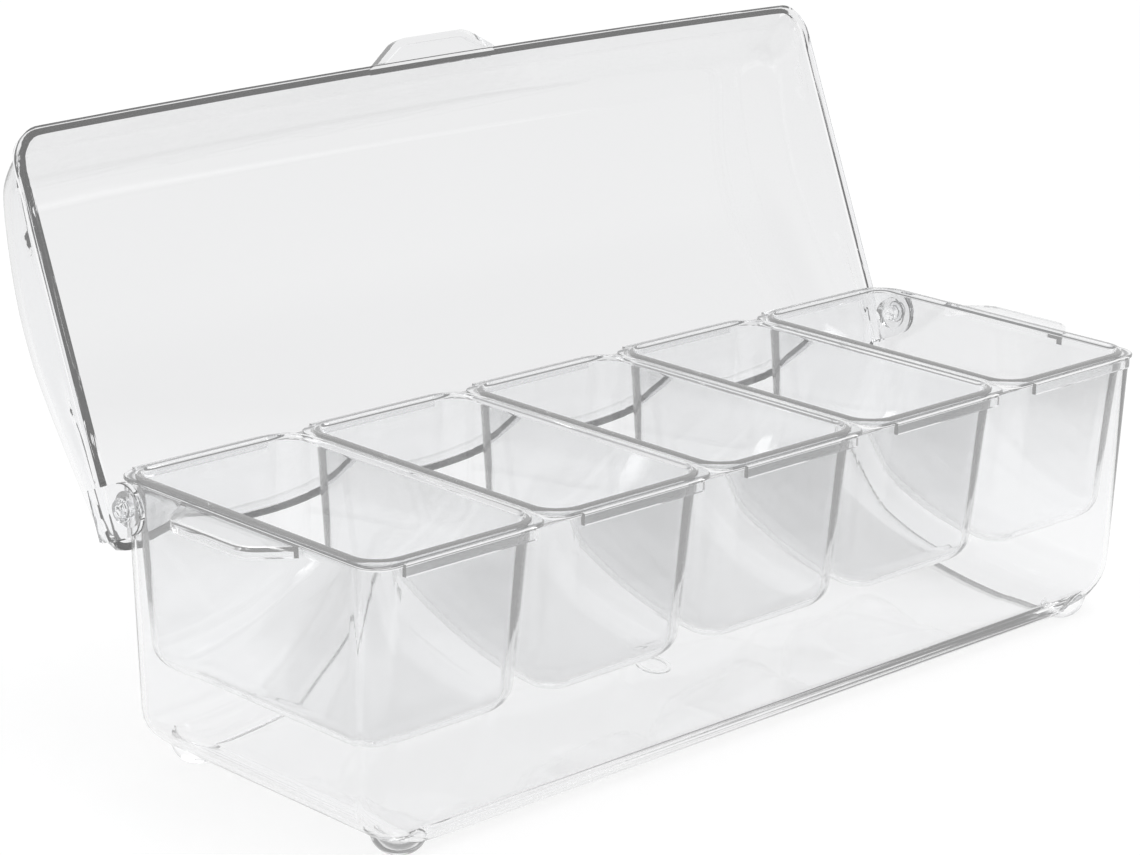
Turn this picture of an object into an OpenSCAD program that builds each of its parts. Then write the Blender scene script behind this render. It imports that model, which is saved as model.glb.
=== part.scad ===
/* [Row of bins] */
// Distance between the middles of two neighbouring bins.
bin_pitch = 80; // [76:1:84]
// Length of a bin's opening, from front to back.
opening_length = 129.6; // [122:0.1:136]
// Depth of a bin, from the top of its flange to its underside.
bin_depth = 70.4; // [60:0.1:78]
// Thickness of a bin's walls.
bin_wall = 1.7; // [1.4:0.1:2]
// Thickness of the flange that a bin hangs by.
flange_thickness = 1.2; // [1:0.1:1.6]
// Height of the ridge round a bin's opening, above its flange.
ridge_rise = 1.15; // [0.8:0.05:1.5]
// Length of the hooked lip at a bin's front and at its back.
hook_length = 58; // [50:1:60]
// Depth of a hooked lip, from the top of the flange down.
hook_drop = 4.35; // [3:0.05:5]
// How far a hooked lip sits to the right of the bin's middle, seen from its own side.
hook_shift = 1.5; // [0:0.5:2]

/* [Tray] */
// Height of the tray's rim above the table.
tray_height = 107.1; // [104:0.1:114]
// Thickness of the tray's walls and floor.
tray_wall = 2.2; // [1.8:0.1:2.4]
// How much further out each end wall stands at its rim than at the floor.
end_slope = 3.4; // [2.6:0.1:3.6]
// How much further out the front and back walls stand at the rim than at the floor.
side_slope = 3; // [2:0.1:4]
// Height of the four feet below the tray's floor.
foot_height = 2; // [1.5:0.5:3]
// How far each end handle stands out from the rim.
handle_reach = 14.4; // [12:0.1:18]
// Width of an end handle where it joins the rim.
handle_width = 66; // [56:1:74]

/* [Lid] */
// Height of the dome above the lid's rim.
lid_rise = 37.8; // [32:0.1:44]
// Thickness of the lid.
lid_wall = 2.5; // [2:0.1:2.8]
// How far the closed lid's front corners stand in front of the bins' flanges.
lid_overhang = 8.6; // [7.5:0.1:13]
// How much further forward the front edge reaches at its middle.
lid_bow = 2.4; // [0:0.1:4]
// Turn of the open lid from its closed position, in degrees.
open_turn = 112.2; // [95:0.1:113]
// Width of the lid's handle where it joins the rim.
lid_handle_width = 65; // [50:1:80]
// How far the lid's handle stands out in front of the rim.
lid_handle_reach = 8.4; // [7:0.1:13]
// How far the lid's handle sits to the right of the middle.
lid_handle_shift = -4; // [-6:1:6]

/* [Hinge] */
// Distance of the pins' axis in front of the back end of the bins' openings.
hinge_inset = 5.2; // [4.8:0.1:6.2]
// Distance of the pins' axis below the tray's rim.
hinge_below_rim = 9.25; // [9:0.05:10.5]
// Diameter of a hinge pin.
pin_diameter = 6; // [5:0.1:6.4]
// Diameter of a hinge pin's head.
head_diameter = 8.8; // [8:0.1:10]

/* [Hidden] */
BIN_COUNT = 5;
CLEAR_TINT = [0.9, 0.93, 0.95, 0.5];
PIN_TINT = [0.82, 0.86, 0.9, 0.8];
// Steps of an arc at a corner, and round a full circle.
ARC_STEPS = 6;
ROUND = 32;
FINE_ROUND = 64;
// Overlap of solids that are joined.
JOIN = 0.5;
// A length past every face, for cuts that go right through.
THROUGH = 30;

// Fits. The bin hangs loosely in the tray, and the hooks and the lid's ears pass their neighbours freely.
bin_gap = 0.4;
flange_gap = 0.4;
hook_gap = 0.3;
pin_press_gap = 0.04;
pin_running_gap = 0.08;
head_gap = 0.1;
ear_gap = 0.8;
lid_gap = 0.3;

// Bin, outwards from its opening.
opening_inset = 3.7;
opening_half = bin_pitch / 2 - opening_inset;
opening_half_length = opening_length / 2;
opening_flare = 1;
opening_flare_back = 0.7;
opening_radius = 12.7;
ridge_width = 2.5;
flange_half = bin_pitch / 2 - flange_gap / 2;
flange_reach = 4.2;
flange_half_length = opening_half_length + flange_reach;
flange_radius = 8.5;
hook_thickness = 1.8;
hook_run_in = 5;
tub_half = opening_half - opening_flare;
tub_half_length = opening_half_length - opening_flare_back;
tub_radius = 9;
tub_taper = 2;
tub_taper_back = 5.5;
tub_floor_radius = 11;
// How far past the ridge's top the cut for the opening goes on, as a share of its height.
opening_cut = 1.2;

// Tray, outwards from the bins.
flange_top = tray_height + flange_thickness;
tray_half = (BIN_COUNT / 2 - 0.5) * bin_pitch + tub_half + bin_wall + bin_gap + tray_wall;
tray_half_width = tub_half_length + bin_wall + bin_gap + tray_wall;
tray_radius = 10;
tray_floor_end = 32;
tray_floor_side = 8.5;
tray_floor_rise = 20;
// Share of the corners' radius that is gone at the floor.
tray_corner_loss = 0.4;
panel_inset = 30.1;
panel_inset_side = 14.5;
panel_half = tray_half - panel_inset;
panel_half_width = tray_half_width - panel_inset_side;
panel_depth = 1;
foot_radius = 9.5;
foot_inset = 22.2;
foot_inset_side = 10.4;
gate_outer = 6.5;
gate_inner = 5;
plate_thickness = 2.2;
plate_lip = 4;
plate_lip_width = 2.4;
// Widths of an end handle halfway out and at its tip, as shares of its width at the rim.
handle_shoulder = 0.82;
handle_tip = 0.56;

// Lid. Its rim stands a little above the flanges, and its ears hang outside the tray's ends.
hinge_back = opening_half_length - hinge_inset;
hinge_z = tray_height - hinge_below_rim;
lid_reach = hinge_back + flange_half_length + lid_overhang;
lid_rim = flange_top + lid_gap - hinge_z;
ear_inner = (BIN_COUNT / 2 - 0.5) * bin_pitch + flange_half + ear_gap;
ear_thickness = 2.4;
ear_radius = 9.6;
ear_rise = 9;
ear_top = lid_rim + ear_rise;
lid_half = ear_inner - 0.1;
lid_flank = 1.1;
lid_tail = 14.8;
lid_tail_rise = 5.6;
// The end walls' rim is a little higher from in front of the pins on, so that it passes the flanges' corners.
relief_front = 5;
relief_rise = 0.9;
tail_front = ear_radius + 0.6;
lid_end_radius = 18;
lid_front_radius = 11;
lid_back_radius = 8;
// A bead runs round the rim, outside its sides and back, and sinks into the wall along its front edge.
bead_width = 1.2;
bead_sink = 0.6;
bead_height = 2.4;
lid_plate_rise = 0.8;
lid_plate_thickness = 2.4;
lid_lip_below = 2.3;
lid_lip_width = 2.6;
lid_plate_root = 1.5;
// At the lid's ends the dome's line sinks to a low hem: its height, and the share of the dome's rise that it keeps.
hem_height = 1;
hem_share = 0.2;
// Line of the dome from front to back: share of the lid's length, and share of its rise.
DOME_LINE = [
    [0.03, 0.34], [0.08, 0.67], [0.125, 0.795], [0.25, 0.92], [0.38, 1], [0.49, 1],
    [0.57, 0.97], [0.71, 0.855], [0.895, 0.68], [0.955, 0.59], [0.99, 0.43]
];

// Pins, from outside to inside.
boss_radius = 6.5;
boss_face = ear_inner - 0.3;
head_thickness = 1.8;
ear_face = ear_inner + ear_thickness;
// The prongs end level with the inside of the tray's wall, short of the end bins.
prong_reach = 0.3;
pin_end = tray_half - tray_wall - prong_reach;
prong_slot = 0.9;
prong_length = 4;

function unit(v) = v / norm(v);

// Points of the arc that rounds the corner p between its two neighbours.
function corner_arc(p, before, after, r) =
    let (d1 = unit(before - p), d2 = unit(after - p), half = acos(d1 * d2) / 2)
    let (middle = p + unit(d1 + d2) * r / sin(half))
    let (first = p + d1 * r / tan(half), last = p + d2 * r / tan(half))
    [for (i = [0:ARC_STEPS]) middle + r * unit((first - middle) * (ARC_STEPS - i) + (last - middle) * i)];

function rounded(points, radii) =
    let (n = len(points))
    [for (i = [0:n - 1]) each corner_arc(points[i], points[(i + n - 1) % n], points[(i + 1) % n], radii[i])];

function rectangle(half_x, half_y) = [[-half_x, -half_y], [half_x, -half_y], [half_x, half_y], [-half_x, half_y]];

function rounded_ring(half_x, half_y, r, z) =
    [for (p = rounded(rectangle(half_x, half_y), [r, r, r, r])) [p[0], p[1], z]];

// A closed skin over rings of equally many points, each clockwise as seen from the last ring's side.
module skin(rings) {
    count = len(rings);
    n = len(rings[0]);
    polyhedron(
        points = [for (ring = rings) each ring],
        faces = concat(
            [[for (j = [1:n]) n - j]],
            [[for (j = [0:n - 1]) (count - 1) * n + j]],
            [for (i = [0:count - 2]) for (j = [0:n - 1])
                each [[i * n + j, i * n + (j + 1) % n, (i + 1) * n + (j + 1) % n],
                    [i * n + j, (i + 1) * n + (j + 1) % n, (i + 1) * n + j]]]),
        convexity = 4);
}

module rounded_slab(half_x, half_y, r, height) {
    linear_extrude(height) polygon(rounded(rectangle(half_x, half_y), [r, r, r, r]));
}

// A bin's tub, grown by its wall for the outside: round corners above, balls at the floor's corners.
module tub(wall, top) {
    ball = tub_floor_radius - bin_wall + wall;
    floor_z = flange_top - bin_depth + tub_floor_radius;
    x = tub_half - tub_taper + bin_wall - tub_floor_radius;
    y = tub_half_length - tub_taper_back + bin_wall - tub_floor_radius;
    hull() {
        for (sx = [-1, 1])
            for (sy = [-1, 1]) {
                translate([sx * x, sy * y, floor_z]) sphere(ball, $fn = ROUND);
                translate([sx * (tub_half - tub_radius), sy * (tub_half_length - tub_radius), tray_height])
                    cylinder(h = top, r = tub_radius + wall, $fn = ROUND);
            }
    }
}

// The hooked lip at a bin's front, with its slanting start at the left.
module hook() {
    left = hook_shift - hook_length / 2;
    right = hook_shift + hook_length / 2;
    inner = -(tray_half_width + hook_gap);
    outer = inner - hook_thickness;
    translate([left, outer, flange_top - hook_drop])
        cube([hook_length, hook_thickness, hook_drop]);
    translate([0, 0, tray_height]) linear_extrude(flange_thickness)
        polygon([[left, outer], [right, outer], [right + flange_radius / 2, -flange_half_length + flange_radius],
            [left - hook_run_in, -flange_half_length + flange_radius], [left - hook_run_in, -flange_half_length]]);
}

module bin() {
    color(CLEAR_TINT) difference() {
        union() {
            tub(bin_wall, JOIN);
            translate([0, 0, tray_height])
                rounded_slab(flange_half, flange_half_length, flange_radius, flange_thickness);
            translate([0, 0, flange_top - JOIN])
                rounded_slab(opening_half + ridge_width, opening_half_length + ridge_width,
                    opening_radius + ridge_width, ridge_rise + JOIN);
            for (turn = [0, 180])
                rotate(turn) hook();
        }
        tub(0, THROUGH);
        skin([for (share = [opening_cut, 0])
            rounded_ring(tub_half + share * opening_flare, tub_half_length + share * opening_flare_back,
                tub_radius + share * (opening_radius - tub_radius),
                tray_height + share * (flange_thickness + ridge_rise))]);
    }
}

module placed_bin(number) {
    translate([(number - (BIN_COUNT + 1) / 2) * bin_pitch, 0, 0]) bin();
}

// The tray's outside, or with a wall the room inside it: drafted walls that roll into the floor.
module tray_body(wall, top) {
    height = tray_height - foot_height;
    skin(concat(
        [rounded_ring(tray_half - wall, tray_half_width - wall, tray_radius - wall, tray_height + top)],
        [for (turn = [90:-15:0])
            let (rise = (tray_floor_rise - wall) * (1 - cos(turn)), inset = 1 - sin(turn))
            let (low = 1 - (rise + wall) / height)
            rounded_ring(tray_half - wall - end_slope * low - (tray_floor_end - wall) * inset,
                tray_half_width - wall - side_slope * low - (tray_floor_side - wall) * inset,
                (tray_radius - wall) * (1 - tray_corner_loss * inset), foot_height + wall + rise)]));
}

// Outline of an end handle, or with an inset the room inside its turned-down lip.
function handle_outline(inset) =
    let (root = tray_half + 0.4, tip = root + handle_reach - inset, half = handle_width / 2 - inset)
    let (elbow = root + handle_reach / 2, wide = half * handle_shoulder, narrow = half * handle_tip)
    [[tray_half - THROUGH, -half], [root, -half], [elbow, -wide], [tip, -narrow],
        [tip, narrow], [elbow, wide], [root, half], [tray_half - THROUGH, half]];

module end_handle() {
    soft = [0.5, 3, 6, 6, 6, 6, 3, 0.5];
    translate([0, 0, tray_height - plate_lip]) difference() {
        linear_extrude(plate_lip) polygon(rounded(handle_outline(0), soft));
        translate([0, 0, -1])
            linear_extrude(1 + plate_lip - plate_thickness) polygon(rounded(handle_outline(plate_lip_width), soft));
    }
}

// A round foot whose edge is rolled below and which fades into the tray's corner above.
module foot() {
    rolled = 2;
    straight = 2.5;
    fade = foot_radius * 0.75;
    cylinder(h = rolled, r1 = foot_radius - rolled, r2 = foot_radius, $fn = FINE_ROUND);
    translate([0, 0, rolled]) cylinder(h = straight, r = foot_radius, $fn = FINE_ROUND);
    translate([0, 0, rolled + straight])
        cylinder(h = fade, r1 = foot_radius, r2 = foot_radius / 4, $fn = FINE_ROUND);
}

// A round bar along X from one place to another, on the hinge's axis.
module axle(from, to, r) {
    translate([from, hinge_back, hinge_z]) rotate([0, 90, 0]) cylinder(h = to - from, r = r, $fn = FINE_ROUND);
}

module tray() {
    foot_x = tray_half - end_slope - foot_inset;
    foot_y = tray_half_width - side_slope - foot_inset_side;
    color(CLEAR_TINT) difference() {
        union() {
            tray_body(0, 0);
            for (side = [0, 1])
                mirror([side, 0, 0]) {
                    end_handle();
                    axle(tray_half - 2 * boss_radius, boss_face, boss_radius);
                    for (sy = [-1, 1])
                        translate([foot_x, sy * foot_y, 0]) foot();
                }
        }
        tray_body(tray_wall, 1);
        translate([-panel_half, -panel_half_width, foot_height - JOIN])
            cube([2 * panel_half, 2 * panel_half_width, panel_depth + JOIN]);
        for (side = [0, 1])
            mirror([side, 0, 0]) axle(tray_half - THROUGH, boss_face + 1, pin_diameter / 2 + pin_press_gap);
    }
    color(CLEAR_TINT) translate([0, 0, foot_height + panel_depth / 2]) difference() {
        cylinder(h = panel_depth, r = gate_outer, $fn = FINE_ROUND);
        translate([0, 0, -1]) cylinder(h = panel_depth + 2, r = gate_inner, $fn = FINE_ROUND);
    }
}

// How far the lid's outline has drawn in at x, for a corner of radius r at its end.
function drawn_in(x, end, r) = let (past = max(0, abs(x) - (end - r))) r - sqrt(max(0, r * r - past * past));

// Outline of the lid across x. drop lowers the dome, and wall shrinks the outline for the room inside.
function lid_slice(x, drop, wall) =
    let (end = lid_half + lid_flank - wall)
    let (front = lid_reach + lid_bow * (1 - pow(x / lid_half, 2)) - wall
        - drawn_in(x, end, lid_front_radius - wall))
    let (back = wall - lid_tail + drawn_in(x, end, lid_back_radius - wall))
    let (base = lid_rim - (wall > 0 ? wall : 0))
    concat(
        [[x, -front, base]],
        [for (p = DOME_LINE)
            let (rise = p[1] * (lid_rise - wall))
            [x, p[0] * (front - back) - front, lid_rim + max(rise - drop, hem_height + hem_share * rise)]],
        [[x, -back, base]]);

// Places across the lid and the dome's drop there: level in the middle, rolled over at the ends.
function lid_stations(wall) =
    let (r = lid_end_radius - wall, end = lid_half - wall)
    let (right = concat([for (turn = [0:15:90]) [end - r * (1 - sin(turn)), r * (1 - cos(turn))]],
        [[end + lid_flank, lid_rise]]))
    let (n = len(right))
    concat([for (i = [1:n]) [-right[n - i][0], right[n - i][1]]],
        [[-end / 2, 0], [0, 0], [end / 2, 0]], right);

// The lid's outside, or with a wall the room inside it.
module lid_body(wall) {
    skin([for (s = lid_stations(wall)) lid_slice(s[0], s[1], wall)]);
}

// Outline of the lid's rim, seen from above the closed lid. It is grown by out, but along the front edge by front.
function rim_outline(out, front) =
    let (half = lid_half + lid_flank + out, r = lid_front_radius + out, back = lid_back_radius + out)
    let (reach = lid_reach + front)
    concat(
        [for (i = [-8:8]) let (x = (half - r) * i / 8) [x, -(reach + lid_bow * (1 - pow(x / lid_half, 2)))]],
        [for (a = [-75:15:0]) [half - r + r * cos(a), r - reach + r * sin(a)]],
        [for (a = [0:15:90]) [half - back + back * cos(a), lid_tail + out - back + back * sin(a)]],
        [for (a = [90:15:180]) [back - half + back * cos(a), lid_tail + out - back + back * sin(a)]],
        [for (a = [180:15:255]) [r - half + r * cos(a), r - reach + r * sin(a)]]);

// Outline of the lid's handle, or with an inset the room inside its lip.
function lid_handle_outline(inset) =
    let (root = lid_reach + lid_bow, half = lid_handle_width / 2 - inset, tip = root + lid_handle_reach - inset)
    [[lid_handle_shift - half, lid_plate_root - root], [lid_handle_shift - half / 2, -tip],
        [lid_handle_shift + half / 2, -tip], [lid_handle_shift + half, lid_plate_root - root]];

// The lid's handle: a plate whose edge is turned down in front of the rim.
module lid_handle() {
    soft = [1, 4, 4, 1];
    translate([0, 0, lid_rim + lid_plate_rise - lid_lip_below]) difference() {
        linear_extrude(lid_lip_below + lid_plate_thickness) polygon(rounded(lid_handle_outline(0), soft));
        translate([0, 0, -1])
            linear_extrude(1 + lid_lip_below) polygon(rounded(lid_handle_outline(lid_lip_width), soft));
        translate([-lid_half, -lid_reach - lid_bow - 0.1, -1])
            cube([2 * lid_half, THROUGH, 1 + lid_lip_below]);
    }
}

// The closed lid, with the pins' axis at the origin and its front edge towards -Y.
module closed_lid() {
    difference() {
        union() {
            lid_body(0);
            translate([0, 0, lid_rim]) linear_extrude(bead_height) difference() {
                polygon(rim_outline(bead_width, -bead_sink));
                polygon(rim_outline(-lid_wall / 2, -lid_wall / 2));
            }
            lid_handle();
        }
        lid_body(lid_wall);
        translate([-lid_half - THROUGH, tail_front, -THROUGH])
            cube([2 * (lid_half + THROUGH), THROUGH, THROUGH + lid_rim + lid_tail_rise]);
        translate([-ear_inner, -relief_front, -THROUGH])
            cube([2 * ear_inner, THROUGH, THROUGH + lid_rim + relief_rise]);
    }
    for (side = [0, 1])
        mirror([side, 0, 0]) ear();
}

module ear() {
    translate([ear_inner, 0, 0]) rotate([0, 90, 0]) difference() {
        union() {
            cylinder(h = ear_thickness, r = ear_radius, $fn = FINE_ROUND);
            translate([-ear_top, -ear_radius, 0]) cube([ear_top, 2 * ear_radius, ear_thickness]);
        }
        translate([0, 0, -1]) cylinder(h = ear_thickness + 2, r = pin_diameter / 2 + pin_running_gap, $fn = FINE_ROUND);
    }
}

module lid() {
    color(CLEAR_TINT) translate([0, hinge_back, hinge_z]) rotate([-open_turn, 0, 0]) closed_lid();
}

// A snap-in pin: flat head outside the ear, shaft through ear and wall, and an end split into four prongs.
module pin() {
    head = ear_face + head_gap;
    color(PIN_TINT) difference() {
        union() {
            axle(pin_end, head + JOIN, pin_diameter / 2);
            axle(head, head + head_thickness, head_diameter / 2);
        }
        for (turn = [0, 90])
            translate([pin_end + prong_length / 2 - 1, hinge_back, hinge_z]) rotate([turn, 0, 0])
                cube([prong_length + 2, prong_slot, 2 * pin_diameter], center = true);
    }
}

module pin_right() {
    pin();
}

module pin_left() {
    mirror([1, 0, 0]) pin();
}

tray();
placed_bin(1);  // bin_1
placed_bin(2);  // bin_2
placed_bin(3);  // bin_3
placed_bin(4);  // bin_4
placed_bin(5);  // bin_5
lid();
pin_left();
pin_right();
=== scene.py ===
import math

import bpy
from mathutils import Matrix, Vector


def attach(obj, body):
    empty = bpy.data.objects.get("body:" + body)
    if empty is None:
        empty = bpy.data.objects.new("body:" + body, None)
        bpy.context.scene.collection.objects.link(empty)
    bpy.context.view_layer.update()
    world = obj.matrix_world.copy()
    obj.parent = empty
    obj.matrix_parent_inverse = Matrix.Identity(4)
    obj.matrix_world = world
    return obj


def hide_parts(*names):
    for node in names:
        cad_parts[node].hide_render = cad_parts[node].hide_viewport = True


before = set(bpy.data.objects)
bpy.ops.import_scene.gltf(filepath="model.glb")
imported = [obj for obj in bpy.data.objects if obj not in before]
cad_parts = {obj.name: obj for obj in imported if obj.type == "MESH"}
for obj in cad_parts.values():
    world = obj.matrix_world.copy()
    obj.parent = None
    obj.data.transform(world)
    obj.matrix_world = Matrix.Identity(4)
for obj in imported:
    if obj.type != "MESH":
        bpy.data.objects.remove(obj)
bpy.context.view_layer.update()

# Sizes are written in millimetres as on a drawing, and MM turns them into metres. A pair of sizes is
# half the length along X and half the width along Y, unless a comment says otherwise.
MM = 0.001

# Bins
BIN_COUNT = 5
BIN_PITCH = 80
OPENING = (36.3, 64.8)
OPENING_ROUND = 11.3
RIDGE_WIDTH = 2.5
FLANGE = (39.8, 69.0)
FLANGE_ROUND = 8.5
TUB = (37.0, 65.8)
TUB_FLOOR = (35, 60.3)
TUB_FLOOR_ROUND = 11
# Corner radius of the tub's flat floor, which grows with the tub towards its rim.
TUB_CORNER = 7.4
BIN_WALL = 1.7
FLANGE_LOW = 107.1
FLANGE_TOP = 108.3
FLANGE_EDGE = 0.35
RIDGE_TOP = 109.45
BIN_FLOOR = 37.9
HOOK_LOW = 103.95
HOOK_IN = 68.7
HOOK_OUT = 70.5
# The lips' ends, left and right
HOOK_SPAN = (-27.5, 30.5)
HOOK_SHELF = 8

# Tray
TRAY_TOP = (199.6, 68.4)
TRAY_WALL = 2.2
TRAY_HIGH = 107.1
TRAY_SLOPE = (3.4, 3)
TRAY_ROUND = 10
# The corners' radius at the flat floor, as a share of the one at the rim.
FLOOR_CORNER = 0.83
FLOOR_ROLL = (32, 8.5)
FLOOR_ROLL_RISE = 20
PANEL = (169.5, 53.9)
PANEL_ROUND = 3
PANEL_BEVEL = (6, 1.5)
# The moulding mark's inner and outer radius
MARK_RING = (5, 6.5)
FOOT_HIGH = 2
FOOT_PLACE = (176, 54)
FOOT_RADIUS = 10.5
FOOT_FLAT = 3
FOOT_ROUND = 10
HANDLE_START = 190
HANDLE_ROOT = 38
HANDLE_TIP = 20
HANDLE_OUT = 214.4
HANDLE_LIP = 4
HANDLE_PLATE = 2.2
HANDLE_LIP_WIDTH = 2.4
BORE_GAP = 0.04

# Hinge and lid, in the lid's own frame: pins' axis at the origin, front edge towards -Y when closed
HINGE = (0, 59.6, 97.85)
OPEN_TURN = math.radians(112.2)
LID_RIM = 10.75
LID_RISE = 37.8
LID_WALL = 2.5
LID_REACH = 137.2
LID_BOW = 2.4
LID_TAIL = 14.8
LID_TAIL_RISE = 5.6
LID_HALF = 200.5
LID_FLANK = 1.1
LID_END_ROUND = 18
LID_FRONT_ROUND = 11
LID_BACK_ROUND = 8
# The bead's width past the rim, and its height
BEAD = (1.2, 2.4)
BEAD_SINK = 0.6
HEM = 1
HEM_SHARE = 0.2
# The dome's line from front to back: shares of the lid's depth and of the dome's rise
DOME_LINE = [
    (0.03, 0.34), (0.08, 0.67), (0.125, 0.795), (0.25, 0.92), (0.38, 1), (0.49, 1),
    (0.57, 0.97), (0.71, 0.855), (0.895, 0.68), (0.955, 0.59), (0.99, 0.43),
]
LID_HANDLE_SHIFT = -4
LID_HANDLE_ROOT = 32.5
LID_HANDLE_TIP = 17
LID_HANDLE_OUT = 148
LID_HANDLE_LIP = 2.6
LID_HANDLE_BELOW = 2.3
LID_HANDLE_PLATE = 2.4
LID_HANDLE_RISE = 0.8
EAR_IN = 200.6
EAR_THICK = 2.4
EAR_RADIUS = 9.6
EAR_EDGE = 0.3
EYE_GAP = 0.08
PIN_RADIUS = 3
PIN_HEAD = 4.4
PIN_HEAD_THICK = 1.8
PIN_END = 197.1
PRONG_LENGTH = 4
PRONG_SLOT = 0.9
BOSS_RADIUS = 6.5
BOSS_FACE = 200.3

# Camera, in metres and radians, as the photograph was taken
CAMERA_PLACE = (-0.893141, -0.872754, 0.479765)
CAMERA_AZIMUTH = 0.770
CAMERA_ELEVATION = 0.295
CAMERA_ROLL = 0.017
CAMERA_LENS = 110.95
SENSOR_WIDTH = 36

# Rays that have met more than this many surfaces are painted a flat grey glow instead: painted shade that
# stands in for light trapped in the plastic and shows as a grey edge.
DEEP = 11

# Tints of the clear plastic, where it is clearest and where it is a little cloudy
CLEAREST = ((0.992, 0.994, 0.996), (0.984, 0.986, 0.99))
CLEAR = ((0.976, 0.978, 0.982), (0.962, 0.965, 0.97))
SMOKY = ((0.96, 0.965, 0.97), (0.92, 0.925, 0.93))


def mm(*values):
    return tuple(v * MM for v in values)


def deselect():
    bpy.ops.object.select_all(action="DESELECT")


def pick(piece):
    deselect()
    piece.select_set(True)
    bpy.context.view_layer.objects.active = piece


def open_edit(piece, kind="FACE"):
    pick(piece)
    bpy.ops.object.mode_set(mode="EDIT")
    bpy.ops.mesh.select_mode(type=kind)


def close_edit(piece):
    bpy.ops.mesh.select_all(action="SELECT")
    bpy.ops.mesh.remove_doubles(threshold=1e-7)
    bpy.ops.mesh.normals_make_consistent(inside=False)
    bpy.ops.object.mode_set(mode="OBJECT")


def apply_place(piece):
    pick(piece)
    bpy.ops.object.transform_apply(location=True, rotation=True, scale=True)


def outline(name, half, radius, z, steps=8, centre=(0, 0)):
    """A flat rounded rectangle to be drawn up into a solid."""
    deselect()
    bpy.ops.mesh.primitive_plane_add(size=2, location=mm(centre[0], centre[1], z))
    piece = bpy.context.object
    piece.name = name
    piece.scale = (half[0] * MM, half[1] * MM, 1)
    apply_place(piece)
    open_edit(piece, "VERT")
    bpy.ops.mesh.select_all(action="SELECT")
    if radius:
        bpy.ops.mesh.bevel(offset=radius * MM, segments=steps, affect="VERTICES")
    bpy.ops.mesh.select_mode(type="FACE")
    bpy.ops.mesh.select_all(action="SELECT")
    return piece


def draw_up(piece, rings, centre=(0, 0)):
    """Extrudes the selected face through rings of (half length, half width, height)."""
    before = rings[0]
    for ring in rings[1:]:
        bpy.ops.mesh.extrude_region_move(TRANSFORM_OT_translate={"value": (0, 0, (ring[2] - before[2]) * MM)})
        bpy.ops.transform.resize(
            value=(ring[0] / before[0], ring[1] / before[1], 1),
            center_override=mm(centre[0], centre[1], ring[2]))
        before = ring
    close_edit(piece)
    return piece


def rounded_block(name, half, radius, low, high, centre=(0, 0), steps=8):
    piece = outline(name, half, radius, low, steps, centre)
    return draw_up(piece, [(half[0], half[1], low), (half[0], half[1], high)], centre)


def trapezoid(name, root, tip, low, high, radius=0, steps=6):
    """A plate whose root lies at x = root[0] with half width root[1], and whose tip is narrower."""
    piece = outline(name, ((tip[0] - root[0]) / 2, root[1]), 0, low, centre=((tip[0] + root[0]) / 2, 0))
    bpy.ops.mesh.select_all(action="DESELECT")
    bpy.ops.object.mode_set(mode="OBJECT")
    for vertex in piece.data.vertices:
        vertex.select = vertex.co.x > (tip[0] + root[0]) / 2 * MM
    open_edit(piece, "VERT")
    bpy.ops.transform.resize(value=(1, tip[1] / root[1], 1), center_override=mm(tip[0], 0, low))
    if radius:
        bpy.ops.mesh.bevel(offset=radius * MM, segments=steps, affect="VERTICES")
    bpy.ops.mesh.select_mode(type="FACE")
    bpy.ops.mesh.select_all(action="SELECT")
    bpy.ops.mesh.extrude_region_move(TRANSFORM_OT_translate={"value": (0, 0, (high - low) * MM)})
    close_edit(piece)
    return piece


def turned(name, rings, vertices=64):
    """A round solid from rings of (radius, height), lower first."""
    deselect()
    bpy.ops.mesh.primitive_circle_add(
        vertices=vertices, radius=rings[0][0] * MM, fill_type="NGON", location=mm(0, 0, rings[0][1]))
    piece = bpy.context.object
    piece.name = name
    apply_place(piece)
    open_edit(piece)
    bpy.ops.mesh.select_all(action="SELECT")
    return draw_up(piece, [(r, r, z) for r, z in rings])


def box(name, low, high):
    centre = [(a + b) / 2 for a, b in zip(low, high)]
    half = [(b - a) / 2 for a, b in zip(low, high)]
    return rounded_block(name, half, 0, low[2], high[2], centre[:2])


def move(piece, place=(0, 0, 0), turn=0, axis="X"):
    piece.matrix_world = Matrix.Translation(mm(*place)) @ Matrix.Rotation(turn, 4, axis) @ piece.matrix_world
    apply_place(piece)
    return piece


def work(piece, other, how):
    """Joins or cuts a piece with another one, which is used up."""
    change = piece.modifiers.new(how.lower(), "BOOLEAN")
    change.operation = how
    change.solver = "EXACT"
    change.object = other
    pick(piece)
    bpy.ops.object.modifier_apply(modifier=change.name)
    bpy.data.objects.remove(other)


def add(piece, *others):
    for other in others:
        work(piece, other, "UNION")


def cut(piece, *others):
    for other in others:
        work(piece, other, "DIFFERENCE")


def copy_of(piece, name):
    """A copy with its own mesh."""
    pick(piece)
    bpy.ops.object.duplicate()
    other = bpy.context.object
    other.name = name
    return other


def mirrored(piece, name):
    """A copy for the other end of the row."""
    other = copy_of(piece, name)
    other.scale = (-1, 1, 1)
    apply_place(other)
    open_edit(other)
    close_edit(other)
    return other


def smooth(piece, angle=32):
    pick(piece)
    bpy.ops.object.shade_smooth_by_angle(angle=math.radians(angle))


# Bins


def tub_rings(wall):
    """Rings of a bin's tub from its floor up, drawn in by wall for the room inside."""
    grow = TUB_FLOOR_ROUND - wall
    core = (TUB_FLOOR[0] - TUB_FLOOR_ROUND, TUB_FLOOR[1] - TUB_FLOOR_ROUND)
    rings = []
    for step in range(9):
        turn = math.radians(step * 90 / 8)
        out = grow * math.sin(turn)
        rings.append((core[0] + out, core[1] + out, BIN_FLOOR + wall + grow * (1 - math.cos(turn))))
    rings.append((TUB[0] - wall, TUB[1] - wall, FLANGE_LOW))
    return rings


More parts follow.
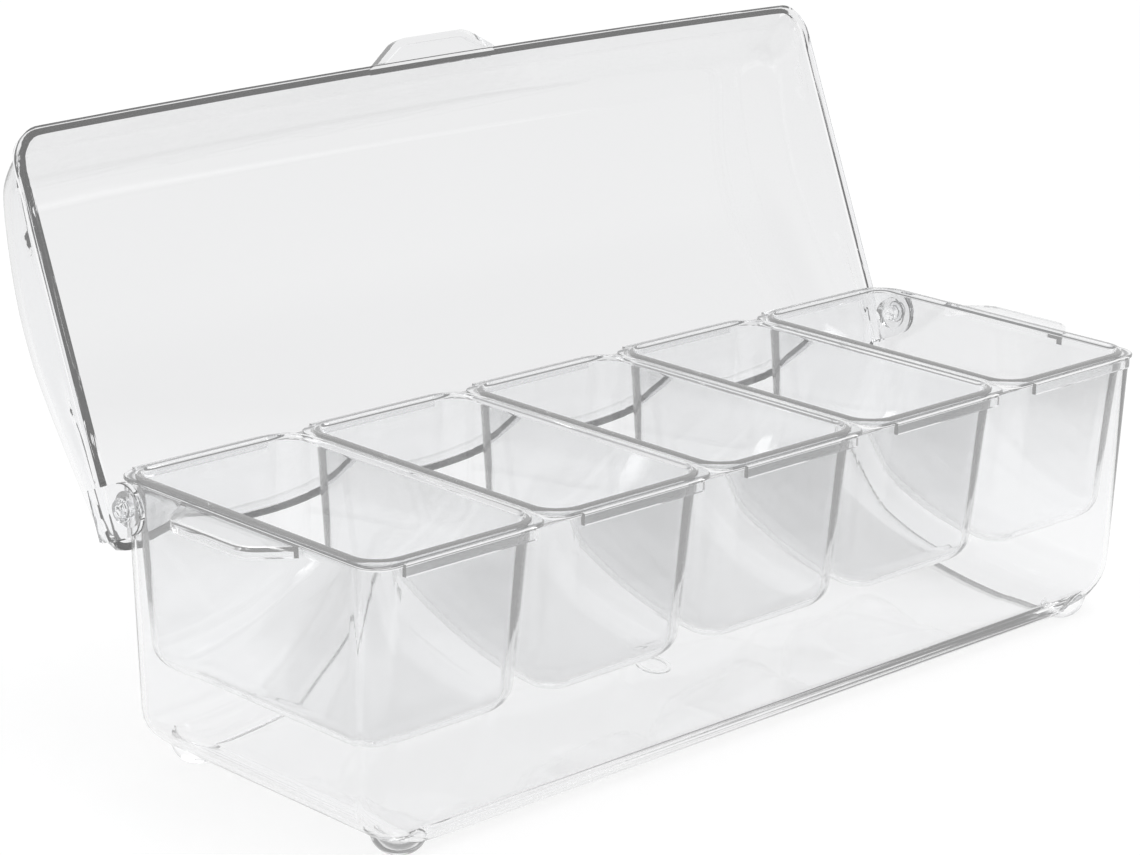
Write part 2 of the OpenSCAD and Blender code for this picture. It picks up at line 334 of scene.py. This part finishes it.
def hook_block(name):
    """The lip that hooks over the tray's front wall, and the piece of flange above it."""
    middle = (HOOK_SPAN[0] + HOOK_SPAN[1]) / 2
    half = (HOOK_SPAN[1] - HOOK_SPAN[0]) / 2
    lip_half = (half, (HOOK_OUT - HOOK_IN) / 2)
    piece = rounded_block(name, lip_half, 0, HOOK_LOW, FLANGE_TOP, (middle, -(HOOK_OUT + HOOK_IN) / 2))
    shelf_half = (half, HOOK_SHELF / 2)
    shelf = rounded_block("shelf", shelf_half, 0, FLANGE_LOW, FLANGE_TOP, (middle, HOOK_SHELF / 2 - HOOK_OUT))
    add(piece, shelf)
    return piece


def make_bin():
    """The middle bin: its tub, flange, ridge and two hooked lips, with the room cut out last."""
    outer = tub_rings(0)
    piece = outline("bin", outer[0][:2], TUB_CORNER, outer[0][2], 10)
    draw_up(piece, outer + [(TUB[0], TUB[1], FLANGE_LOW + 0.5)])
    ridge_half = (OPENING[0] + RIDGE_WIDTH, OPENING[1] + RIDGE_WIDTH)
    ridge = outline("ridge", ridge_half, OPENING_ROUND + RIDGE_WIDTH, FLANGE_TOP - 0.5, 10)
    draw_up(ridge, [
        (*ridge_half, FLANGE_TOP - 0.5), (*ridge_half, RIDGE_TOP - 0.45),
        (ridge_half[0] - 0.15, ridge_half[1] - 0.15, RIDGE_TOP - 0.15),
        (ridge_half[0] - 0.5, ridge_half[1] - 0.5, RIDGE_TOP)])
    flange = outline("flange", FLANGE, FLANGE_ROUND, FLANGE_LOW, 8)
    draw_up(flange, [
        (*FLANGE, FLANGE_LOW), (*FLANGE, FLANGE_TOP - FLANGE_EDGE),
        (FLANGE[0] - FLANGE_EDGE, FLANGE[1] - FLANGE_EDGE, FLANGE_TOP)])
    back_hook = move(hook_block("back_hook"), turn=math.pi, axis="Z")
    add(piece, flange, ridge, hook_block("front_hook"), back_hook)
    inner = tub_rings(BIN_WALL)
    room = outline("room", inner[0][:2], TUB_CORNER, inner[0][2], 10)
    draw_up(room, inner + [
        (OPENING[0] - 0.3, OPENING[1] - 0.2, RIDGE_TOP - 0.5), (OPENING[0], OPENING[1], RIDGE_TOP - 0.15),
        (OPENING[0] + 0.5, OPENING[1] + 0.5, RIDGE_TOP + 0.4)])
    cut(piece, room)
    smooth(piece)
    return piece


# Tray


def tray_rings(wall):
    """Rings of the tray from its floor up, drawn in by wall for the room inside."""
    tall = TRAY_HIGH - FOOT_HIGH
    rings = []
    for step in range(11):
        turn = math.radians(step * 9)
        rise = (FLOOR_ROLL_RISE - wall) * (1 - math.cos(turn))
        low = 1 - (rise + wall) / tall
        inset = 1 - math.sin(turn)
        rings.append((
            TRAY_TOP[0] - wall - TRAY_SLOPE[0] * low - (FLOOR_ROLL[0] - wall) * inset,
            TRAY_TOP[1] - wall - TRAY_SLOPE[1] * low - (FLOOR_ROLL[1] - wall) * inset,
            FOOT_HIGH + wall + rise))
    return rings


def end_handle(name):
    """A plate at the tray's right end with a lip that hangs from its edge."""
    piece = trapezoid(
        name, (HANDLE_START, HANDLE_ROOT), (HANDLE_OUT, HANDLE_TIP), TRAY_HIGH - HANDLE_LIP, TRAY_HIGH, 5)
    under = trapezoid(
        "under", (HANDLE_START - 1, HANDLE_ROOT - 1), (HANDLE_OUT - HANDLE_LIP_WIDTH, HANDLE_TIP - 2),
        TRAY_HIGH - HANDLE_LIP - 1, TRAY_HIGH - HANDLE_PLATE, 4)
    cut(piece, under)
    return piece


def foot(name, place):
    """A soft foot with a small flat underside, which fades into the tray's corner above."""
    rings = []
    for step in range(7):
        turn = math.radians(step * 15)
        radius = FOOT_FLAT + (FOOT_RADIUS - FOOT_FLAT) * math.sin(turn)
        rings.append((radius, FOOT_ROUND * (1 - math.cos(turn))))
    rings += [(FOOT_RADIUS - 0.6, 13), (FOOT_RADIUS - 2.4, 18), (FOOT_RADIUS / 2, 22)]
    return move(turned(name, rings), (place[0], place[1], 0))


def axle(name, start, end, radius, vertices=48):
    """A round bar along X on the hinge's axis."""
    piece = turned(name, [(radius, start), (radius, end)], vertices)
    piece.matrix_world = Matrix.Translation(mm(0, HINGE[1], HINGE[2])) @ Matrix.Rotation(math.pi / 2, 4, "Y")
    apply_place(piece)
    return piece


def make_tray():
    outer = tray_rings(0)
    piece = outline("tray", outer[0][:2], TRAY_ROUND * FLOOR_CORNER, outer[0][2], 10)
    draw_up(piece, outer + [
        (TRAY_TOP[0] - 0.03, TRAY_TOP[1], TRAY_HIGH - 0.5),
        (TRAY_TOP[0] - 0.15, TRAY_TOP[1] - 0.15, TRAY_HIGH - 0.12),
        (TRAY_TOP[0] - 0.6, TRAY_TOP[1] - 0.6, TRAY_HIGH)])
    add(piece, *[foot("foot", (x * FOOT_PLACE[0], y * FOOT_PLACE[1])) for x in (-1, 1) for y in (-1, 1)])
    handle = end_handle("end_handle")
    add(piece, mirrored(handle, "other_handle"), handle)
    boss = axle("boss", TRAY_TOP[0] - 2 * BOSS_RADIUS, BOSS_FACE, BOSS_RADIUS)
    add(piece, mirrored(boss, "other_boss"), boss)
    inner = tray_rings(TRAY_WALL)
    room = outline("room", inner[0][:2], (TRAY_ROUND - TRAY_WALL) * FLOOR_CORNER, inner[0][2], 10)
    top = (TRAY_TOP[0] - TRAY_WALL, TRAY_TOP[1] - TRAY_WALL)
    draw_up(room, inner + [(top[0], top[1], TRAY_HIGH - 0.3), (top[0] + 0.5, top[1] + 0.5, TRAY_HIGH + 0.3)])
    cut(piece, room)
    panel = outline("panel", PANEL, PANEL_ROUND, FOOT_HIGH - 1, 6)
    draw_up(panel, [
        (*PANEL, FOOT_HIGH - 1), (*PANEL, FOOT_HIGH + 0.6),
        (PANEL[0] - PANEL_BEVEL[0], PANEL[1] - PANEL_BEVEL[1], FOOT_HIGH + 1)])
    cut(piece, panel)
    bore = axle("bore", TRAY_TOP[0] - 20, BOSS_FACE + 1, PIN_RADIUS + BORE_GAP)
    cut(piece, mirrored(bore, "other_bore"), bore)
    mark = turned("mark", [(MARK_RING[1], FOOT_HIGH + 0.4), (MARK_RING[1], FOOT_HIGH + 1.4)])
    cut(mark, turned("mark_room", [(MARK_RING[0], FOOT_HIGH), (MARK_RING[0], FOOT_HIGH + 2)]))
    add(piece, mark)
    smooth(piece)
    return piece


# Lid


def eased(line, rounds=2):
    """The line with its corners cut a few times, so that it bends softly."""
    for _ in range(rounds):
        softer = [line[0]]
        for a, b in zip(line, line[1:]):
            softer.append((a[0] * 0.75 + b[0] * 0.25, a[1] * 0.75 + b[1] * 0.25))
            softer.append((a[0] * 0.25 + b[0] * 0.75, a[1] * 0.25 + b[1] * 0.75))
        softer.append(line[-1])
        line = softer
    return line


def drawn_in(x, end, radius):
    """How far a round corner of this radius has drawn the edge in at x."""
    past = max(0, abs(x) - (end - radius))
    return radius - math.sqrt(max(0, radius * radius - past * past))


def lid_slice(x, drop, wall):
    """The lid's cross-section at x, with the dome let down by drop but never below a low hem."""
    end = LID_HALF + LID_FLANK - wall
    front = LID_REACH + LID_BOW * (1 - (x / LID_HALF) ** 2) - wall - drawn_in(x, end, LID_FRONT_ROUND - wall)
    back = wall - LID_TAIL + drawn_in(x, end, LID_BACK_ROUND - wall)
    base = LID_RIM - wall
    ring = [(x, -front, base)]
    for along, up in eased(DOME_LINE):
        rise = up * (LID_RISE - wall)
        ring.append((x, along * (front - back) - front, LID_RIM + max(rise - drop, HEM + HEM_SHARE * rise)))
    ring.append((x, -back, base))
    return ring


def lid_stations(wall):
    """Places along X of the lid's cross-sections, each with the dome's drop there."""
    radius = LID_END_ROUND - wall
    end = LID_HALF - wall
    right = []
    for step in range(13):
        turn = math.radians(step * 7.5)
        right.append((end - radius * (1 - math.sin(turn)), radius * (1 - math.cos(turn))))
    right.append((end + LID_FLANK * 0.5, LID_RISE * 0.6))
    right.append((end + LID_FLANK, LID_RISE))
    middle = [(end * share, 0) for share in (-0.75, -0.5, -0.25, 0, 0.25, 0.5, 0.75)]
    return [(-x, drop) for x, drop in reversed(right)] + middle + right


def lid_skin(name, wall):
    """A closed skin over the lid's slices from one end to the other."""
    rings = [lid_slice(x, drop, wall) for x, drop in lid_stations(wall)]
    count = len(rings)
    around = len(rings[0])
    faces = [tuple(reversed(range(around))), tuple(range((count - 1) * around, count * around))]
    for i in range(count - 1):
        for j in range(around):
            k = (j + 1) % around
            faces.append((i * around + j, i * around + k, (i + 1) * around + k, (i + 1) * around + j))
    mesh = bpy.data.meshes.new(name)
    mesh.from_pydata([mm(*p) for ring in rings for p in ring], [], faces)
    piece = bpy.data.objects.new(name, mesh)
    bpy.context.scene.collection.objects.link(piece)
    open_edit(piece)
    close_edit(piece)
    return piece


def rim_points(out, ahead):
    """The rim seen from above the closed lid, grown by out and at the front edge by ahead."""
    half = LID_HALF + LID_FLANK + out
    front = LID_FRONT_ROUND + out
    back = LID_BACK_ROUND + out
    reach = LID_REACH + ahead
    points = []
    for i in range(-12, 13):
        x = (half - front) * i / 12
        points.append((x, -(reach + LID_BOW * (1 - (x / LID_HALF) ** 2))))
    corners = (
        (half - front, front - reach, front, -75, 0), (half - back, LID_TAIL + out - back, back, 0, 90),
        (back - half, LID_TAIL + out - back, back, 90, 180), (front - half, front - reach, front, 180, 255))
    for x, y, radius, start, end in corners:
        for step in range(9):
            turn = math.radians(start + (end - start) * step / 8)
            points.append((x + radius * math.cos(turn), y + radius * math.sin(turn)))
    return points


def rim_plate(name, out, ahead, low, high):
    """A flat plate of the rim's outline, which leaves a bead round the lid when the room is cut out."""
    mesh = bpy.data.meshes.new(name)
    points = rim_points(out, ahead)
    mesh.from_pydata([mm(x, y, low) for x, y in points], [], [tuple(range(len(points)))])
    piece = bpy.data.objects.new(name, mesh)
    bpy.context.scene.collection.objects.link(piece)
    open_edit(piece)
    bpy.ops.mesh.select_all(action="SELECT")
    return draw_up(piece, [(1, 1, low), (1, 1, high)])


def lid_handle():
    """The plate at the middle of the lid's front edge, hollow below like the tray's handles."""
    low = LID_RIM + LID_HANDLE_RISE - LID_HANDLE_BELOW
    high = LID_RIM + LID_HANDLE_RISE + LID_HANDLE_PLATE
    root = LID_REACH + LID_BOW - 1.5
    piece = trapezoid("lid_handle", (root, LID_HANDLE_ROOT), (LID_HANDLE_OUT, LID_HANDLE_TIP), low, high, 3)
    plate_low = high - LID_HANDLE_PLATE
    under = trapezoid(
        "under", (root - 1, LID_HANDLE_ROOT - LID_HANDLE_LIP),
        (LID_HANDLE_OUT - LID_HANDLE_LIP, LID_HANDLE_TIP - 1.5), low - 1, plate_low, 2.5)
    before_rim = box("before_rim", (root - 20, -60, low - 1), (LID_REACH + LID_BOW + 0.1, 60, plate_low))
    cut(piece, under, before_rim)
    return move(piece, (LID_HANDLE_SHIFT, 0, 0), -math.pi / 2, "Z")


def ear(name):
    """The right ear, a round plate with a stem up to the lid's end wall and an eye for the pin."""
    piece = turned(name, [
        (EAR_RADIUS - EAR_EDGE, EAR_IN), (EAR_RADIUS, EAR_IN + EAR_EDGE),
        (EAR_RADIUS, EAR_IN + EAR_THICK - EAR_EDGE), (EAR_RADIUS - EAR_EDGE, EAR_IN + EAR_THICK)])
    stem = box("stem", (-LID_RIM - 8, -EAR_RADIUS, EAR_IN), (0, EAR_RADIUS, EAR_IN + EAR_THICK))
    add(piece, stem)
    eye = PIN_RADIUS + EYE_GAP
    cut(piece, turned("eye", [(eye, EAR_IN - 1), (eye, EAR_IN + EAR_THICK + 1)]))
    piece.matrix_world = Matrix.Rotation(math.pi / 2, 4, "Y")
    apply_place(piece)
    return piece


def make_lid():
    piece = lid_skin("lid", 0)
    bead = rim_plate("bead", BEAD[0], -BEAD_SINK, LID_RIM, LID_RIM + BEAD[1])
    add(piece, bead, lid_handle())
    cut(piece, lid_skin("lid_room", LID_WALL))
    cut(piece, box("tail_room", (-240, EAR_RADIUS + 0.6, -30), (240, 45, LID_RIM + LID_TAIL_RISE)))
    cover = ear("ear")
    add(piece, mirrored(cover, "other_ear"), cover)
    piece.matrix_world = Matrix.Translation(mm(*HINGE)) @ Matrix.Rotation(-OPEN_TURN, 4, "X")
    apply_place(piece)
    open_edit(piece)
    bpy.ops.mesh.select_all(action="SELECT")
    bpy.ops.mesh.remove_doubles(threshold=0.03 * MM)
    close_edit(piece)
    smooth(piece, 25)
    return piece


# Pins


def make_pin(name):
    """The right pin: a round bar with a flat head outside the ear and four prongs at its inner end."""
    face = EAR_IN + EAR_THICK + 0.1
    top = face + PIN_HEAD_THICK
    piece = turned(name, [
        (PIN_RADIUS - 0.5, PIN_END), (PIN_RADIUS, PIN_END + 0.8), (PIN_RADIUS, face), (PIN_HEAD - 0.3, face),
        (PIN_HEAD, face + 0.3), (PIN_HEAD, top - 0.7), (PIN_HEAD - 0.25, top - 0.25), (PIN_HEAD - 0.8, top),
        (2.2, top), (1.9, top - 0.25)], 48)
    slot = PRONG_SLOT / 2
    for half_x, half_y in ((slot, 8), (8, slot)):
        cut(piece, box("slot", (-half_x, -half_y, PIN_END - 1), (half_x, half_y, PIN_END + PRONG_LENGTH)))
    piece.matrix_world = Matrix.Translation(mm(0, HINGE[1], HINGE[2])) @ Matrix.Rotation(math.pi / 2, 4, "Y")
    apply_place(piece)
    smooth(piece)
    return piece


# Materials


def moulded_surface():
    """Slow waves, faint flow clouds and fine handling marks of a clear moulding."""
    group = bpy.data.node_groups.new("moulded_surface", "ShaderNodeTree")
    side = group.interface.new_socket
    side(name="Wave Size", in_out="INPUT", socket_type="NodeSocketFloat").default_value = 14
    side(name="Mark Size", in_out="INPUT", socket_type="NodeSocketFloat").default_value = 260
    side(name="Clear Tint", in_out="INPUT", socket_type="NodeSocketColor")
    side(name="Cloud Tint", in_out="INPUT", socket_type="NodeSocketColor")
    side(name="Tint", in_out="OUTPUT", socket_type="NodeSocketColor")
    side(name="Roughness", in_out="OUTPUT", socket_type="NodeSocketFloat")
    side(name="Height", in_out="OUTPUT", socket_type="NodeSocketFloat")
    nodes = group.nodes
    link = group.links.new
    start = nodes.new("NodeGroupInput")
    end = nodes.new("NodeGroupOutput")
    place = nodes.new("ShaderNodeTexCoord")
    waves = nodes.new("ShaderNodeTexNoise")
    waves.inputs["Detail"].default_value = 2
    marks = nodes.new("ShaderNodeTexNoise")
    marks.inputs["Detail"].default_value = 4
    for noise, size in ((waves, "Wave Size"), (marks, "Mark Size")):
        link(place.outputs["Object"], noise.inputs["Vector"])
        link(start.outputs[size], noise.inputs["Scale"])
    tint = nodes.new("ShaderNodeMix")
    tint.data_type = "RGBA"
    link(waves.outputs["Fac"], tint.inputs["Factor"])
    link(start.outputs["Clear Tint"], tint.inputs[6])
    link(start.outputs["Cloud Tint"], tint.inputs[7])
    rough = nodes.new("ShaderNodeMapRange")
    rough.inputs["From Min"].default_value = 0.35
    rough.inputs["From Max"].default_value = 0.8
    rough.inputs["To Min"].default_value = 0.01
    rough.inputs["To Max"].default_value = 0.05
    link(marks.outputs["Fac"], rough.inputs["Value"])
    link(tint.outputs[2], end.inputs["Tint"])
    link(rough.outputs["Result"], end.inputs["Roughness"])
    link(waves.outputs["Fac"], end.inputs["Height"])
    return group


def clear_plastic(name, tints, wave_size, painted_edge_tone):
    """Clear plastic with its two tints, the number of waves in a metre and the tone of its painted grey glow,
    painted shade that stands in for light trapped at its edges.
    """
    material = bpy.data.materials.new(name)
    material.use_nodes = True
    nodes = material.node_tree.nodes
    link = material.node_tree.links.new
    shader = nodes["Principled BSDF"]
    shader.inputs["Transmission Weight"].default_value = 1
    shader.inputs["Metallic"].default_value = 0
    shader.inputs["IOR"].default_value = 1.5
    surface = nodes.new("ShaderNodeGroup")
    surface.node_tree = bpy.data.node_groups["moulded_surface"]
    surface.inputs["Wave Size"].default_value = wave_size
    surface.inputs["Clear Tint"].default_value = (*tints[0], 1)
    surface.inputs["Cloud Tint"].default_value = (*tints[1], 1)
    link(surface.outputs["Tint"], shader.inputs["Base Color"])
    link(surface.outputs["Roughness"], shader.inputs["Roughness"])
    bump = nodes.new("ShaderNodeBump")
    bump.inputs["Strength"].default_value = 0.12
    bump.inputs["Distance"].default_value = 0.0008
    link(surface.outputs["Height"], bump.inputs["Height"])
    link(bump.outputs["Normal"], shader.inputs["Normal"])
    path = nodes.new("ShaderNodeLightPath")
    deep = nodes.new("ShaderNodeMath")
    deep.operation = "GREATER_THAN"
    deep.inputs[1].default_value = DEEP
    link(path.outputs["Ray Depth"], deep.inputs[0])
    # Painted shade: a flat grey glow for rays past DEEP surfaces, standing in for light trapped in the
    # plastic.
    painted_edge_glow = nodes.new("ShaderNodeEmission")
    painted_edge_glow.inputs["Color"].default_value = (painted_edge_tone, painted_edge_tone, painted_edge_tone, 1)
    blend = nodes.new("ShaderNodeMixShader")
    link(deep.outputs[0], blend.inputs[0])
    link(shader.outputs[0], blend.inputs[1])
    link(painted_edge_glow.outputs[0], blend.inputs[2])
    link(blend.outputs[0], nodes["Material Output"].inputs["Surface"])
    return material


def dress(piece, material, body, node):
    """Gives a finished piece its material and the body it moves with, and hides the CAD node it stands for.
    """
    piece.data.materials.clear()
    piece.data.materials.append(material)
    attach(piece, body)
    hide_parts(node)


# Surroundings


def make_floor():
    """A pale floor that the camera sees evenly white. Rays from the plastic see a painted glow on it: painted
    shade a little darker behind the caddy and a painted pool of light brighter well in front, which the
    plastic shows as painted highlights.
    """
    deselect()
    bpy.ops.mesh.primitive_plane_add(size=16)
    floor = bpy.context.object
    floor.name = "floor"
    material = bpy.data.materials.new("pale_floor")
    material.use_nodes = True
    nodes = material.node_tree.nodes
    link = material.node_tree.links.new
    shader = nodes["Principled BSDF"]
    shader.inputs["Base Color"].default_value = (0.95, 0.95, 0.95, 1)
    shader.inputs["Roughness"].default_value = 0.9
    glow = nodes.new("ShaderNodeEmission")
    glow.inputs["Color"].default_value = (1, 1, 1, 1)
    place = nodes.new("ShaderNodeTexCoord")
    towards = nodes.new("ShaderNodeVectorMath")
    towards.operation = "DOT_PRODUCT"
    towards.inputs[1].default_value = (-math.sin(CAMERA_AZIMUTH), -math.cos(CAMERA_AZIMUTH), 0)
    link(place.outputs["Object"], towards.inputs[0])
    reach = nodes.new("ShaderNodeMapRange")
    reach.inputs["From Min"].default_value = -1
    reach.inputs["From Max"].default_value = 1
    link(towards.outputs["Value"], reach.inputs["Value"])
    # Painted light on the floor for rays from the plastic: painted shade behind the caddy and a painted pool
    # of light in a band in front of it.
    painted_light_pool = nodes.new("ShaderNodeValToRGB")
    painted_light_pool.color_ramp.elements[0].position = 0.32
    painted_light_pool.color_ramp.elements[0].color = (0.86, 0.86, 0.86, 1)
    painted_light_pool.color_ramp.elements[1].position = 0.43
    painted_light_pool.color_ramp.elements[1].color = (1, 1, 1, 1)
    for position, tone in ((0.65, 1), (0.7, 1.9), (0.8, 1.9), (0.875, 1)):
        lit = painted_light_pool.color_ramp.elements.new(position)
        lit.color = (tone, tone, tone, 1)
    link(reach.outputs["Result"], painted_light_pool.inputs["Fac"])
    path = nodes.new("ShaderNodeLightPath")
    seen = nodes.new("ShaderNodeMix")
    link(path.outputs["Is Camera Ray"], seen.inputs[0])
    link(painted_light_pool.outputs["Color"], seen.inputs[2])
    seen.inputs[3].default_value = 1.06
    link(seen.outputs[0], glow.inputs["Strength"])
    blend = nodes.new("ShaderNodeMixShader")
    blend.inputs[0].default_value = 0.8
    link(shader.outputs[0], blend.inputs[1])
    link(glow.outputs[0], blend.inputs[2])
    link(blend.outputs[0], nodes["Material Output"].inputs["Surface"])
    floor.data.materials.append(material)


def make_world():
    """White behind the caddy; what the plastic shows is white low down and greyer overhead."""
    world = bpy.data.worlds.new("studio")
    bpy.context.scene.world = world
    world.use_nodes = True
    nodes = world.node_tree.nodes
    link = world.node_tree.links.new
    nodes.clear()
    out = nodes.new("ShaderNodeOutputWorld")
    white = nodes.new("ShaderNodeBackground")
    white.inputs["Color"].default_value = (1, 1, 1, 1)
    room = nodes.new("ShaderNodeBackground")
    place = nodes.new("ShaderNodeTexCoord")
    parts = nodes.new("ShaderNodeSeparateXYZ")
    ramp = nodes.new("ShaderNodeValToRGB")
    ramp.color_ramp.elements[0].position = 0.36
    ramp.color_ramp.elements[0].color = (1, 1, 1, 1)
    ramp.color_ramp.elements[1].position = 0.7
    ramp.color_ramp.elements[1].color = (0.6, 0.6, 0.61, 1)
    link(place.outputs["Generated"], parts.inputs["Vector"])
    link(parts.outputs["Z"], ramp.inputs["Fac"])
    link(ramp.outputs["Color"], room.inputs["Color"])
    path = nodes.new("ShaderNodeLightPath")
    choose = nodes.new("ShaderNodeMixShader")
    link(path.outputs["Is Camera Ray"], choose.inputs[0])
    link(room.outputs[0], choose.inputs[1])
    link(white.outputs[0], choose.inputs[2])
    link(choose.outputs[0], out.inputs["Surface"])


def make_lamp(name, place, target, size, power):
    lamp = bpy.data.lights.new(name, "AREA")
    lamp.size = size
    lamp.energy = power
    holder = bpy.data.objects.new(name, lamp)
    bpy.context.scene.collection.objects.link(holder)
    holder.location = place
    holder.rotation_euler = (Vector(target) - Vector(place)).to_track_quat("-Z", "Y").to_euler()


def make_camera():
    """The camera where the photograph was taken from."""
    camera = bpy.data.cameras.new("camera")
    camera.lens = CAMERA_LENS
    camera.sensor_width = SENSOR_WIDTH
    camera.clip_start = 0.01
    camera.clip_end = 50
    holder = bpy.data.objects.new("camera", camera)
    bpy.context.scene.collection.objects.link(holder)
    az, el, roll = CAMERA_AZIMUTH, CAMERA_ELEVATION, CAMERA_ROLL
    ahead = Vector((math.sin(az) * math.cos(el), math.cos(az) * math.cos(el), -math.sin(el)))
    right = Vector((math.cos(az), -math.sin(az), 0))
    up = right.cross(ahead)
    side = right * math.cos(roll) + up * math.sin(roll)
    top = up * math.cos(roll) - right * math.sin(roll)
    turn = Matrix((side, top, -ahead)).transposed().to_4x4()
    holder.matrix_world = Matrix.Translation(CAMERA_PLACE) @ turn
    bpy.context.scene.camera = holder


moulded_surface()
tray_plastic = clear_plastic("tray_plastic", CLEAREST, 12, 0.28)
bin_plastic = clear_plastic("bin_plastic", CLEAREST, 18, 0.32)
lid_plastic = clear_plastic("lid_plastic", CLEAR, 9, 0.15)
pin_plastic = clear_plastic("pin_plastic", SMOKY, 60, 0.2)

dress(make_tray(), tray_plastic, "base", "tray")
dress(make_lid(), lid_plastic, "cover", "lid")

first_bin = make_bin()
for number in range(1, BIN_COUNT + 1):
    bin_piece = first_bin if number == BIN_COUNT else copy_of(first_bin, "bin")
    bin_piece.name = f"clear_bin_{number}"
    move(bin_piece, ((number - (BIN_COUNT + 1) / 2) * BIN_PITCH, 0, 0))
    dress(bin_piece, bin_plastic, f"bin_{number}_body", f"bin_{number}")

right_pin = make_pin("right_pin")
left_pin = mirrored(right_pin, "left_pin")
smooth(left_pin)
dress(right_pin, pin_plastic, "base", "pin_right")
dress(left_pin, pin_plastic, "base", "pin_left")

make_floor()
make_world()
make_lamp("top_softbox", (0.2, -0.3, 1.8), (0, 0, 0.1), 1.2, 14)
make_camera()
bpy.context.scene.view_settings.view_transform = "Standard"
bpy.context.scene.cycles.max_bounces = 32
bpy.context.scene.cycles.transmission_bounces = 32
bpy.context.scene.cycles.glossy_bounces = 12
